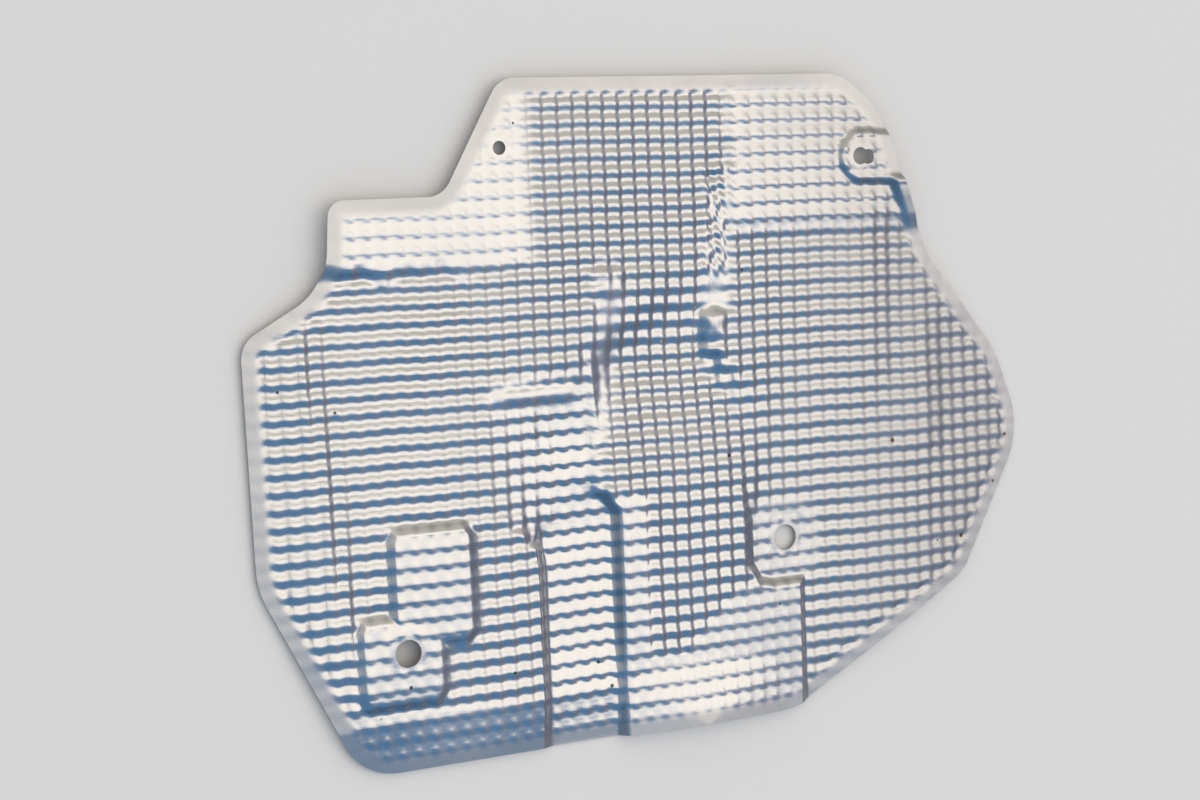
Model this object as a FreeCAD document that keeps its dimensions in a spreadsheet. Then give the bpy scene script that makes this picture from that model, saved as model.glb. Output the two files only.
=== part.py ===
import FreeCAD, Part
import Sketcher
import math
import os

# A pressed aluminium heat shield lying on its back, embossed side up.
# Sizes are in millimetres. X runs along the shield, Y across it and Z up.
# The origin is under the middle of the outline, on the floor.

# The sheet and its egg-crate embossing. The depth is from the tip of a bump
# to the bottom of a dimple. Rims, pads and flanges are pressed flat again.
SHEET = {
    "sheet_thickness": 0.8,
    "emboss_pitch": 8.0,
    "emboss_depth": 1.6,
    "emboss_row_shift": 2.0,
    "rim_width": 16.0,
}

# The outline's corners, clockwise from the top left, before rounding.
CORNERS = {
    "top_left": (-83.2, 158.6),
    "top_right": (103.0, 158.6),
    "shoulder": (127.0, 140.0),
    "flank": (135.6, 111.4),
    "neck": (155.5, 65.4),
    "brow": (198.7, 14.7),
    "nose": (216.2, -28.7),
    "chin": (175.7, -100.1),
    "base_right": (70.4, -158.2),
    "base_left": (-164.2, -158.2),
    "left_low": (-209.4, -65.4),
    "left_high": (-211.6, 44.5),
    "waist": (-172.3, 67.0),
    "ear": (-169.7, 105.5),
    "ear_root": (-113.7, 105.5),
}

# The corner roundings, with the corners that share each one.
ROUNDINGS = {
    "ear_radius": (7.5, ["ear"]),
    "small_radius": (13.0, ["top_left", "ear_root", "left_high"]),
    "chin_radius": (21.0, ["chin"]),
    "middle_radius": (29.0, ["top_right", "waist", "base_left"]),
    "large_radius": (42.0, ["shoulder", "flank", "nose", "base_right", "left_low"]),
    "sweep_radius": (60.0, ["neck", "brow"]),
}

# The holes: middle and radius. Two overlapping punches make the clip hole.
HOLES = {
    "upper_hole": (-84.3, 126.7, 3.25),
    "left_hole": (-141.0, -102.1, 6.5),
    "right_hole": (66.0, -71.0, 6.5),
    "clip_hole": (112.6, 117.6, 4.3),
    "clip_lobe": (117.0, 117.1, 3.7),
    "pin_hole": (0.5, 31.7, 1.2),
}

# The pressed forms. Depths, drops and heights are along Z, slopes are rise over run.
FORMS = {
    "seat_margin": 9.0,
    "channel_depth": 5.0,
    "channel_head_depth": 2.8,
    "channel_run": 72.0,
    "channel_top": 18.0,
    "channel_right_high": -39.0,
    "channel_right_low": -29.0,
    "channel_left_high": -92.0,
    "channel_left_low": -69.0,
    "channel_wall": 9.0,
    "channel_shoulder": -40.0,
    "dent_depth": 4.7,
    "dent_top_y": 67.0,
    "dent_low_y": 27.0,
    "dent_end_y": -40.0,
    "dent_left_x": -37.0,
    "dent_right_x": 24.0,
    "flange_edge_x": -69.0,
    "flange_edge_y": 72.0,
    "flange_slope": 0.025,
    "corner_edge_x": 38.0,
    "corner_edge_y": 84.0,
    "corner_rise": 1.2,
    "boss_height": 2.0,
    "boss_half_width": 10.0,
    "boss_wall": 4.5,
    "left_pad_height": 2.5,
    "left_pad_left": -164.0,
    "left_pad_step": -147.0,
    "left_pad_right": -106.0,
    "left_pad_top": -46.0,
    "left_pad_mid": -86.0,
    "left_pad_base": -126.0,
    "right_step_depth": 3.0,
    "right_step_x": 75.0,
    "right_step_fade_x": 150.0,
    "right_step_fade_y": 60.0,
    "right_pad_left": 45.0,
    "right_pad_right": 86.0,
    "right_pad_top": -52.0,
    "right_pad_base": -93.0,
    "pad_wall": 6.0,
    "left_pad_corner": 6.0,
    "right_pad_corner": 14.0,
    "left_fold_high_x": -186.0,
    "left_fold_low_x": -171.0,
    "left_fold_slope": 0.1,
    "right_fold_x": 112.0,
    "right_fold_slope": 0.02,
    "tip_fold_x": 152.0,
    "tip_fold_slope": 0.05,
    "base_fold_y": -136.0,
    "base_fold_slope": 0.12,
    "base_hem_y": -120.0,
    "base_hem_right": 78.0,
    "ridge_height": 1.8,
    "ridge_y": -134.0,
    "ridge_half_width": 24.0,
    "shelf_width": 16.0,
    "plain_patch_left": 14.0,
    "plain_patch_right": 72.0,
    "plain_patch_top": -94.0,
    "bulge_height": 3.5,
    "bulge_x": 16.0,
    "bulge_y": -158.0,
    "bulge_half_length": 48.0,
    "bulge_half_width": 32.0,
    "knuckle_height": 1.6,
    "knuckle_radius": 13.0,
    "upper_knuckle_x": -31.0,
    "upper_knuckle_y": 62.0,
    "lower_knuckle_x": 25.0,
    "lower_knuckle_y": 41.0,
    "pleat_height": 4.0,
    "pleat_top_x": 131.0,
    "pleat_top_y": 106.0,
    "pleat_tail_x": 146.0,
    "pleat_tail_y": 74.0,
}

os.makedirs("parts", exist_ok=True)
doc = FreeCAD.newDocument("heat_shield")
sheet = doc.addObject("Spreadsheet::Sheet", "sizes")

# One row for each named size: its name, then its value under that name.
values = {}
values.update(SHEET)
for name, (x, y) in CORNERS.items():
    values[name + "_x"] = x
    values[name + "_y"] = y
for name, (radius, _) in ROUNDINGS.items():
    values[name] = radius
for name, (x, y, radius) in HOLES.items():
    values[name + "_x"] = x
    values[name + "_y"] = y
    values[name + "_radius"] = radius
values.update(FORMS)
values["tool_height"] = 60.0
for row, (name, value) in enumerate(values.items(), 1):
    sheet.set("A%d" % row, name)
    sheet.set("B%d" % row, str(value))
    sheet.setAlias("B%d" % row, name)
doc.recompute()


# The sizes as the sheet holds them.
read = {name: float(getattr(sheet, name)) for name in values}


def size(name):
    return read[name]


def corner(name):
    return size(name + "_x"), size(name + "_y")


# The outline: a sketch of straight lines, padded, with its upright edges rounded.
outline_body = doc.addObject("PartDesign::Body", "outline_body")
sketch = outline_body.newObject("Sketcher::SketchObject", "outline_sketch")
sketch.AttachmentSupport = [(outline_body.Origin.OriginFeatures[3], "")]
sketch.MapMode = "FlatFace"
names = list(CORNERS)
for index, name in enumerate(names):
    start = FreeCAD.Vector(*corner(name), 0)
    end = FreeCAD.Vector(*corner(names[(index + 1) % len(names)]), 0)
    sketch.addGeometry(Part.LineSegment(start, end), False)
for index in range(len(names)):
    sketch.addConstraint(Sketcher.Constraint("Coincident", index, 2, (index + 1) % len(names), 1))
for index, name in enumerate(names):
    x, y = corner(name)
    for axis, place in (("x", x), ("y", y)):
        number = sketch.addConstraint(Sketcher.Constraint("Distance" + axis.upper(), -1, 1, index, 1, place))
        sketch.setExpression("Constraints[%d]" % number, "sizes.%s_%s" % (name, axis))
pad = outline_body.newObject("PartDesign::Pad", "outline_pad")
pad.Profile = sketch
pad.Midplane = True
pad.setExpression("Length", "sizes.tool_height")
doc.recompute()


def upright_edges(shape, wanted):
    """Names of the upright edges that stand at the wanted corners."""
    found = []
    for index, edge in enumerate(shape.Edges, 1):
        first, last = edge.Vertexes[0].Point, edge.Vertexes[-1].Point
        if abs(first.x - last.x) + abs(first.y - last.y) > 0.001:
            continue
        for name in wanted:
            x, y = corner(name)
            if math.hypot(first.x - x, first.y - y) < 0.01:
                found.append("Edge%d" % index)
    return found


feature = pad
for name, (_, wanted) in ROUNDINGS.items():
    rounding = outline_body.newObject("PartDesign::Fillet", name + "_fillet")
    rounding.Base = (feature, upright_edges(feature.Shape, wanted))
    rounding.setExpression("Radius", "sizes." + name)
    doc.recompute()
    feature = rounding


def ramp(value, start, end):
    """Smooth rise from 0 at start to 1 at end."""
    part = min(1.0, max(0.0, (value - start) / (end - start)))
    return part * part * (3.0 - 2.0 * part)


def wall(value, middle, width):
    return ramp(value, middle - width / 2, middle + width / 2)


def segment_distance(x, y, ax, ay, bx, by):
    along = ((x - ax) * (bx - ax) + (y - ay) * (by - ay)) / ((bx - ax) ** 2 + (by - ay) ** 2)
    along = min(1.0, max(0.0, along))
    return math.hypot(x - ax - along * (bx - ax), y - ay - along * (by - ay))


def edge_distance(x, y):
    """Distance in from the unrounded outline, negative outside it."""
    nearest = 1.0e9
    inside = False
    for index, name in enumerate(names):
        ax, ay = corner(name)
        bx, by = corner(names[(index + 1) % len(names)])
        nearest = min(nearest, segment_distance(x, y, ax, ay, bx, by))
        if (ay > y) != (by > y) and x < ax + (y - ay) * (bx - ax) / (by - ay):
            inside = not inside
    return nearest if inside else -nearest


def channel(x, y):
    """The clearance channel's floor and walls, 0 to 1."""
    turn = ramp(-y, -size("channel_shoulder") - 6, -size("channel_shoulder") + 10)
    narrow = ramp(-y, -size("channel_shoulder") - 10, -size("channel_shoulder") + 30)
    right = size("channel_right_high") + turn * (size("channel_right_low") - size("channel_right_high"))
    left = size("channel_left_high") + narrow * (size("channel_left_low") - size("channel_left_high"))
    width = size("channel_wall")
    inside = wall(x, left, width * (2.5 - 1.5 * narrow)) * (1 - wall(x, right, width))
    return inside * (1 - wall(y, size("channel_top"), 12))


def channel_drop(x, y):
    """How deep the channel is: shallow at the left of its head, full lower down."""
    run = size("channel_depth") * min(1.0, max(0.0, (size("channel_top") - y) / size("channel_run")))
    start = size("channel_left_high")
    head = size("channel_head_depth") * ramp(x, start, start + 36)
    ridge = size("ridge_height") * max(0.0, 1 - abs(y - size("ridge_y")) / size("ridge_half_width"))
    return channel(x, y) * (max(run, head) - ridge)


def dent(x, y):
    """The wide dent below the upper fields: an even slope down to its low line, then slowly up again."""
    low = size("dent_low_y")
    if y > low:
        down = max(0.0, (size("dent_top_y") - y) / (size("dent_top_y") - low))
    else:
        down = 1 - ramp(-y, -low, -size("dent_end_y"))
    left = size("dent_left_x") + 0.35 * max(0.0, y - low)
    below = max(0.0, low - y)
    sides = wall(x, left, 14) * (1 - wall(x, size("dent_right_x") + 0.6 * below, 10 + 0.8 * below))
    return down * sides


def flange(x, y):
    """The flat upper left flange, 0 to 1."""
    return (1 - wall(x, size("flange_edge_x"), 9)) * wall(y, size("flange_edge_y"), 9)


def far_corner(x, y):
    """The flat upper right corner, 0 to 1."""
    return wall(x, size("corner_edge_x"), 14) * wall(y, size("corner_edge_y"), 9)


def boss(x, y):
    """The raised pad round the clip hole, open to the edge on its right."""
    away = segment_distance(x, y, size("clip_hole_x") + 2, size("clip_hole_y"), 160, size("clip_hole_y") - 2)
    return 1 - ramp(away, size("boss_half_width"), size("boss_half_width") + size("boss_wall"))


def rounded_box(x, y, left, right, low, high, radius):
    """1 inside a box with rounded corners, falling to 0 over the pad's wall."""
    across = abs(x - (left + right) / 2) - (right - left) / 2 + radius
    up = abs(y - (low + high) / 2) - (high - low) / 2 + radius
    away = math.hypot(max(across, 0), max(up, 0)) + min(max(across, up), 0) - radius
    return 1 - wall(away, 0, size("pad_wall"))


def left_pad(x, y):
    """The raised pad round the left hole: a box with a wider foot."""
    step, right = size("left_pad_step"), size("left_pad_right")
    mid, low, radius = size("left_pad_mid"), size("left_pad_base"), size("left_pad_corner")
    upper = rounded_box(x, y, step, right, mid - 14, size("left_pad_top"), radius)
    foot = rounded_box(x, y, size("left_pad_left"), right - 16, low, mid, radius)
    return max(upper, foot)


def right_pad(x, y):
    """The sunk pad round the right hole."""
    left, right = size("right_pad_left"), size("right_pad_right")
    low, high = size("right_pad_base"), size("right_pad_top")
    return rounded_box(x, y, left, right, low, high, size("right_pad_corner"))


def right_step(x, y):
    """Right of the step that runs round the right pad and on down to the lower edge."""
    left, low = size("right_pad_left"), size("right_pad_base")
    corner = rounded_box(x, y, left, 400, low, 400, size("right_pad_corner"))
    return max(corner, wall(x, size("right_step_x"), size("pad_wall")))


def right_drop(x, y):
    """How far the sheet drops at the step. It comes up again slowly, upwards and to the right."""
    across = 1 - ramp(x, size("right_pad_left") + 15, size("right_step_fade_x"))
    up = 1 - ramp(y, size("right_pad_base") + 13, size("right_step_fade_y"))
    return size("right_step_depth") * right_step(x, y) * across * up


def hem(x, y):
    """The lower edge, pressed flat: the left fold and the wider strip under the bulge."""
    fold = 1 - wall(y, size("base_fold_y"), 6)
    strip = (1 - wall(y, size("base_hem_y"), 6)) * wall(x, size("channel_right_low"), 6)
    return max(fold, strip) * (1 - wall(x, size("base_hem_right"), 6))


def plain_patch(x, y):
    """The plain patch between the right pad and the lower edge."""
    across = size("plain_patch_left") < x < size("plain_patch_right")
    return 1 if across and y < size("plain_patch_top") else 0


def channel_shelf(x, y):
    """The plain shelf along the channel's right wall, below its shoulder."""
    across = size("channel_right_low") < x < size("channel_right_low") + size("shelf_width")
    return 1 if across and y < size("channel_shoulder") else 0


def dome(x, y, name):
    return 1 - ramp(math.hypot(x - size(name + "_x"), y - size(name + "_y")), 0, size("knuckle_radius"))


def pleat(x, y):
    """The pressed pleat beside the edge: high at its top end, running out at its tail."""
    top, tail = size("pleat_top_y"), size("pleat_tail_y")
    line = size("pleat_top_x") + (top - y) / (top - tail) * (size("pleat_tail_x") - size("pleat_top_x"))
    return wall(x, line, 4) * ramp(y, tail - 4, top) * (1 - wall(y, top, 3))


def bends(x, y):
    """The slight folds along the left, right and lower edges."""
    fold = (50.0 - y) / 140.0 * (size("left_fold_low_x") - size("left_fold_high_x"))
    drop = size("left_fold_slope") * max(0.0, size("left_fold_high_x") + fold - x)
    below_corner = 1 - far_corner(x, y)
    drop += below_corner * size("right_fold_slope") * max(0.0, x - size("right_fold_x"))
    drop += size("tip_fold_slope") * max(0.0, x - size("tip_fold_x"))
    left_end = 1 - ramp(x, size("channel_left_low") - 6, size("channel_left_low") + 6)
    drop += left_end * size("base_fold_slope") * max(0.0, size("base_fold_y") - y)
    return drop


def form(x, y):
    """Height of the pressed form, without the embossing."""
    along = abs(x - size("bulge_x")) / size("bulge_half_length")
    across = abs(y - size("bulge_y")) / size("bulge_half_width")
    height = size("bulge_height") * max(0.0, 1 - max(along, across))
    height -= channel_drop(x, y)
    height -= size("dent_depth") * dent(x, y)
    height += flange(x, y) * size("flange_slope") * max(0.0, size("flange_edge_x") - x)
    height += far_corner(x, y) * size("corner_rise")
    height += size("knuckle_height") * (dome(x, y, "upper_knuckle") + dome(x, y, "lower_knuckle"))
    height += size("boss_height") * boss(x, y)
    height += size("left_pad_height") * left_pad(x, y)
    height -= right_drop(x, y)
    height += size("pleat_height") * pleat(x, y)
    return height - bends(x, y)


def seat(x, y):
    """The hole whose flat seat holds this point, if any."""
    for name in ("upper_hole", "left_hole", "right_hole", "clip_hole"):
        reach = size(name + "_radius") + size("seat_margin")
        if math.hypot(x - size(name + "_x"), y - size(name + "_y")) < reach:
            return name
    return None


def surface(x, y):
    """Height of the pressed form, level on the seats round the holes."""
    name = seat(x, y)
    if name:
        return form(size(name + "_x"), size(name + "_y"))
    return form(x, y)


def embossed(x, y):
    """Whether the embossing is left standing here."""
    if seat(x, y) or edge_distance(x, y) < size("rim_width"):
        return False
    pressed = (channel, flange, far_corner, left_pad, right_pad, hem, plain_patch, channel_shelf)
    return max(zone(x, y) for zone in pressed) < 0.5


# The embossed blank: one square cell for each pitch, with a dimple at its middle
# and bumps at its corners. A bump stands where all four dimples round it do.
# A cell with no dimple left is two triangles.
pitch = size("emboss_pitch")
shift = size("emboss_row_shift")
points = []
lookup = {}
dimples = {}


def dimpled(column, row):
    """Whether the cell from this column and row keeps its dimple."""
    if (column, row) not in dimples:
        dimples[column, row] = embossed((column + 0.5) * pitch, (row + 0.5) * pitch + shift)
    return dimples[column, row]


def relief(column, row):
    """How far the embossing stands up or down at a cell's corner or middle."""
    left, low = math.ceil(column) - 1, math.ceil(row) - 1
    if column != int(column):
        return -size("emboss_depth") / 2 if dimpled(left, low) else 0.0
    around = [(left, low), (left + 1, low), (left, low + 1), (left + 1, low + 1)]
    return size("emboss_depth") / 2 if all(dimpled(*cell) for cell in around) else 0.0


def place(side, column, row):
    """Number of the front or back point at a cell's corner or middle."""
    key = (side, column, row)
    if key not in lookup:
        x, y = column * pitch, row * pitch + shift
        height = surface(x, y) + relief(column, row)
        lookup[key] = len(points)
        points.append(FreeCAD.Vector(x, y, height - (size("sheet_thickness") if side else 0)))
    return lookup[key]


columns = range(-28, 29)
rows = range(-22, 22)
cells = set()
for column in columns:
    for row in rows:
        if edge_distance((column + 0.5) * pitch, (row + 0.5) * pitch + shift) > -1.1 * pitch:
            cells.add((column, row))

triangles = []
for column, row in sorted(cells):
    corners = [(column, row), (column + 1, row), (column + 1, row + 1), (column, row + 1)]
    middle = (column + 0.5, row + 0.5)
    for side in (0, 1):
        ring = [place(side, *each) for each in corners]
        if dimpled(column, row):
            hub = place(side, *middle)
            fan = [(ring[i], ring[(i + 1) % 4], hub) for i in range(4)]
        else:
            fan = [(ring[0], ring[1], ring[2]), (ring[0], ring[2], ring[3])]
        triangles += [each[::-1] if side else each for each in fan]
    for index, (across, up) in enumerate([(0, -1), (1, 0), (0, 1), (-1, 0)]):
        if (column + across, row + up) in cells:
            continue
        first, last = corners[index], corners[(index + 1) % 4]
        a, b = place(0, *first), place(0, *last)
        c, d = place(1, *last), place(1, *first)
        triangles += [(a, d, c), (a, c, b)]

shell = Part.Shape()
shell.makeShapeFromMesh((points, triangles), 0.0001)
solid = Part.Solid(shell)
if solid.Volume < 0:
    solid.reverse()
blank = doc.addObject("Part::Feature", "embossed_blank")
blank.Shape = solid

# Trim the blank to the outline, then punch the holes.
trimmed = doc.addObject("Part::Common", "trimmed_sheet")
trimmed.Base = blank
trimmed.Tool = outline_body
punches = []
for name in HOLES:
    if name == "pin_hole":
        punch = doc.addObject("Part::Prism", name + "_punch")
        punch.Polygon = 5
        punch.setExpression("Circumradius", "sizes.%s_radius" % name)
    else:
        punch = doc.addObject("Part::Cylinder", name + "_punch")
        punch.setExpression("Radius", "sizes.%s_radius" % name)
    punch.setExpression("Height", "sizes.tool_height")
    punch.setExpression("Placement.Base.x", "sizes.%s_x" % name)
    punch.setExpression("Placement.Base.y", "sizes.%s_y" % name)
    punch.setExpression("Placement.Base.z", "-sizes.tool_height / 2")
    punches.append(punch)
tools = doc.addObject("Part::MultiFuse", "punches")
tools.Shapes = punches
shield = doc.addObject("Part::Cut", "heat_shield")
shield.Label = "heat_shield"
shield.Base = trimmed
shield.Tool = tools
trimmed.Refine = False
tools.Refine = False
shield.Refine = True
doc.recompute()

# Stand the sheet on the floor.
shield.Placement.Base.z = -shield.Shape.BoundBox.ZMin

for thing in doc.Objects:
    if "Invalid" in thing.State or "Error" in thing.State:
        raise RuntimeError("not built: " + thing.Name)
if shield.Shape.isNull() or not shield.Shape.isValid() or len(shield.Shape.Solids) != 1:
    raise RuntimeError("the heat shield is not one valid solid")
shield.Shape.exportStep("parts/" + shield.Label + ".step")
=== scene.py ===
import math

import bpy
import numpy as np
from mathutils import Matrix, Vector
from mathutils.geometry import delaunay_2d_cdt


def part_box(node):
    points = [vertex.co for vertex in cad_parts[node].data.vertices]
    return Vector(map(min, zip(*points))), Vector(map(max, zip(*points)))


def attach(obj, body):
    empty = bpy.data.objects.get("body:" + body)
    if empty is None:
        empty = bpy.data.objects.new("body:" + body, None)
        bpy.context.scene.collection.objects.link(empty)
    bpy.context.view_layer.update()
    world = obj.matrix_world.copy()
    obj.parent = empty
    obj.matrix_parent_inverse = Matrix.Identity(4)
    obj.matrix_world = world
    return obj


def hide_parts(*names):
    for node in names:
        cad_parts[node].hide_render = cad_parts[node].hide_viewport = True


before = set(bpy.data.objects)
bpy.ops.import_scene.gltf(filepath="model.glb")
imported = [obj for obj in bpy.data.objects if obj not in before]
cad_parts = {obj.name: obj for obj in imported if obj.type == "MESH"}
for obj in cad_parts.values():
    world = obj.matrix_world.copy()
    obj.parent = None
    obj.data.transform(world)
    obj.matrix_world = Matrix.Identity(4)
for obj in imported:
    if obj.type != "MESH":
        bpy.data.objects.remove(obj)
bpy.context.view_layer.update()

bl_info = {
    "name": "Embossed heat shield",
    "version": (1, 0, 0),
    "blender": (4, 5, 0),
    "location": "3D View > Sidebar > Heat shield",
    "description": "Builds a pressed and embossed aluminium heat shield, its finish and a plain stage",
    "category": "Object",
}

SHEET_LOW, SHEET_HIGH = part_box("heat_shield")
MM = 0.001

# The outline's corners, clockwise from the top left, with the radius that rounds each one. Millimetres.
OUTLINE = [
    (-83.2, 158.6, 13.0),
    (103.0, 158.6, 29.0),
    (127.0, 140.0, 42.0),
    (135.6, 111.4, 42.0),
    (155.5, 65.4, 60.0),
    (198.7, 14.7, 60.0),
    (216.2, -28.7, 42.0),
    (175.7, -100.1, 21.0),
    (70.4, -158.2, 42.0),
    (-164.2, -158.2, 29.0),
    (-209.4, -65.4, 42.0),
    (-211.6, 44.5, 13.0),
    (-172.3, 67.0, 29.0),
    (-169.7, 105.5, 7.5),
    (-113.7, 105.5, 13.0),
]

# Place and radius of each hole. The clip hole is two punches that overlap.
UPPER_HOLE = (-84.3, 126.7, 3.25)
LEFT_HOLE = (-141.0, -102.1, 6.5)
RIGHT_HOLE = (66.0, -71.0, 6.5)
CLIP_HOLE = (112.6, 117.6, 4.3)
CLIP_LOBE = (117.0, 117.1, 3.7)
PIN_HOLE = (0.5, 31.7, 1.2)
SEATED_HOLES = (UPPER_HOLE, LEFT_HOLE, RIGHT_HOLE, CLIP_HOLE)
SEAT_INNER = 4.0
SEAT_OUTER = 9.0

# Spacing of the mesh points along the outline and round the holes.
OUTLINE_SPACING = 1.3
BOLT_HOLE_SPACING = 0.8
CLIP_HOLE_SPACING = 0.6
PIN_HOLE_SPACING = 0.5

# Marks of use on the face: place and radius of each dark speck and rust spot.
DARK_SPECKS = [
    (-140.5, -118.0, 1.1), (-87.0, -118.7, 1.0), (-40.5, -120.7, 1.0), (-34.0, -133.0, 1.2),
    (34.0, -26.7, 1.2), (-170.0, 11.0, 0.9), (44.0, 64.0, 0.8), (-196.0, 22.0, 0.9),
]
RUST_SPOTS = [(196.5, -55.0, 1.0), (174.5, -81.7, 1.5), (131.0, -27.5, 1.6), (205.0, -31.0, 1.2)]
SPOT_COVER = 0.95
RIM_WEAR = (4.0, 9.0)
# Along X, the metal darkens and roughens towards the right end: painted shade. The dulling below serves that
# end and the worn rims.
SHADED_RIGHT_END = (30.0, 170.0)
WEAR_AND_SHADE_DULLING = -0.6

# Height of the open fields' middle plane above the sheet's lowest point, and the rows' shift along Y.
FIELD_HEIGHT = 6.225
ROW_SHIFT = 2.0

# Lines, widths and heights of the pressed form.
STEP_WIDTH = 6.0
FIELD_WALL = 9.0
FAR_AWAY = 400.0
CHANNEL_TOP = 18.0
CHANNEL_LEFT = -82.0
CHANNEL_RIGHT = -39.0
CHANNEL_LOWER_RIGHT = -29.0
CHANNEL_JOG = (34.0, 50.0)
CHANNEL_NARROWING = (42.0, 62.0)
CHANNEL_LEFT_SHIFT = 13.0
CHANNEL_SHIFTING = (20.0, 74.0)
CHANNEL_HEAD_WALL = 40.0
CHANNEL_WALL = 9.0
CHANNEL_LOWER_WALL = 5.5
CHANNEL_TOP_WALL = 12.0
CHANNEL_RUN = 72.0
HEAD_DEPTH = 1.6
HEAD_SINK = 1.6
HEAD_SINKING = (-14.0, 14.0)
HEAD_LEFT_END = (-92.0, -56.0)
RIDGE_Y = -134.0
RIDGE_HEIGHT = 1.8
RIDGE_HALF_WIDTH = 24.0
RIDGE_ROUNDING = 1.5
DENT_TOP = 67.0
DENT_LOW = 27.0
DENT_LEFT = -37.0
DENT_LEFT_WALL = 28.0
DENT_LEFT_SLANT = 0.35
DENT_RIGHT = 24.0
DENT_RIGHT_SLANT = 0.6
DENT_RIGHT_WALL = 10.0
DENT_RIGHT_SOFTENING = 0.8
DENT_EASE = 5.0
DENT_RECOVERY = 67.0
DENT_DEPTH = 4.7
FLANGE_RIGHT = -69.0
FLANGE_LOW = 72.0
FLANGE_RISE = 0.025
CORNER_LEFT = 38.0
CORNER_LOW = 84.0
CORNER_LEFT_WALL = 14.0
CORNER_LIFT = 1.2
BOSS_LINE = (114.6, 117.6, 160.0, 115.6)
BOSS_WALL = (10.0, 14.5)
LEFT_PAD_UPPER = (-147.0, -106.0, -100.0, -46.0, 6.0)
LEFT_PAD_LOWER = (-164.0, -122.0, -126.0, -86.0, 6.0)
RIGHT_PAD = (45.0, 86.0, -93.0, -52.0, 14.0)
RIGHT_STEP_LINE = 75.0
RIGHT_STEP_TURN = (-64.0, -40.0)
RIGHT_STEP_SOFTENING = (-64.0, 0.0)
RIGHT_STEP_WALLS = (8.0, 58.0)
RIGHT_STEP_FADE_X = (60.0, 150.0)
RIGHT_STEP_FADE_Y = (-80.0, 60.0)
HEM_LINE = -136.0
HEM_SLANT = 0.1
HEM_LEFT = -72.0
HEM_RIGHT = 78.0
HEM_STRIP_TOP = -120.0
HEM_FALL_END = (-75.0, -63.0)
HEM_FALL = 0.12
PATCH_TOP = -93.0
PATCH_LEFT = -4.0
PATCH_RIGHT = 74.0
PATCH_SLANT = 0.92
PATCH_SLANT_END = 36.0
PATCH_LEFT_WALL = 8.0
NARROW_WALL = 4.0
SHELF_RIGHT = -13.0
SHELF_TOP = -40.0
KNOBS = [(-31.0, 62.0, 13.0), (26.0, 39.0, 10.0)]
KNOB_HEIGHT = 1.6
BULGE_PLACE = (16.0, -158.0)
BULGE_REACH = (48.0, 32.0)
BULGE_HEIGHT = 3.5
PLEAT_LINE = 131.0
PLEAT_TOP = 106.0
PLEAT_LOW = 70.0
PLEAT_SLANT = 15.0 / 32.0
PLEAT_WALL = 5.0
LEFT_FALL = 0.1
LEFT_FALL_BEYOND_FOLD = 4.0
RIGHT_FALL = 0.02
RIGHT_FALL_FROM = 112.0
TIP_FALL = 0.05
TIP_FALL_FROM = 152.0

# Folds: where each crosses X, the heights between which it runs, and its step.
LEFT_FOLD = -182.0
LEFT_FOLD_SPAN = (-104.0, 50.0)
LEFT_FOLD_STEP = 1.2
LEFT_FOLD_SLANT = 15.0 / 140.0
LEFT_FOLD_COLUMNS = 8.0
RIGHT_FOLDS = [(127.0, 6.0, 96.0), (159.0, -36.0, 34.0)]
RIGHT_FOLD_STEP = 1.1
SLANT_MIDDLE = (-14.0, 40.0)
SLANT_ALONG = (0.8, 0.6)
SLANT_HALF_LENGTH = 24.0
SLANT_STEP = 1.8
LIP_Y = 11.5
LIP_HEIGHT = 1.1
LIP_WIDTH = 3.8
RIM_CREASE = 9.2
RIM_CREASE_WIDTH = 1.7
RIM_CREASE_RIGHT = 0.30
RIM_CREASE_LEFT = 0.22
PRESSED_EDGE = -38.0
PRESSED_EDGE_SLANT = 0.04
PRESSED_EDGE_STEP = 1.4

# Wrinkles and unevenness: where they run and how high they stand.
WRINKLED_WALL = (-40.0, 24.0, -38.0, -34.0)
WRINKLED_WALL_WIDTH = 5.0
WALL_WRINKLE = 0.05
WRINKLED_CORNER = (29.0, 68.0, 32.0, 110.0)
WRINKLED_CORNER_WIDTH = 6.5
CORNER_WRINKLE = 0.36
HOLLOW_SIDES = (26.0, 34.0)
HOLLOW_UPPER_WALL = (-69.0, -49.0)
HOLLOW_LOWER_WALL = (-49.0, -42.0)
HOLLOW_DEPTH = 2.4
SLOW_SWELL = 0.16
QUICK_SWELL = 0.05

# The embossing: the share of its cross wave along X, and what makes up the low bumps of ironed zones.
CROSS_WAVE = 0.6
CROSS_WAVE_GAIN = 0.5
CROSS_WAVE_GAINING = (-150.0, -30.0)
CROSS_WAVE_LOSS = 0.55
CROSS_WAVE_LOSING = (28.0, 95.0)
CROSS_WAVE_AT_FOLD = 0.5
LOW_ACROSS = 0.15
LOW_ROWS = 0.15
LOW_RIPPLE = 0.15
LOW_TIPS = 0.28
LOW_SINK = 0.08
RIM_KEPT = 0.08
RIM_FLAT = (5.0, 9.5)

# Lines where the embossing is torn out of step: both ends, how much of it is lost, and the width.
TORN_LINES = [
    (29.0, 70.0, 32.0, 104.0, 0.75, 6.0),
    (-38.0, -8.0, -28.0, 56.0, 0.65, 8.0),
    (-90.0, 11.5, -52.0, 11.5, 0.8, 5.0),
    (27.0, 38.0, 30.0, 64.0, 0.8, 6.5),
]

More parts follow.
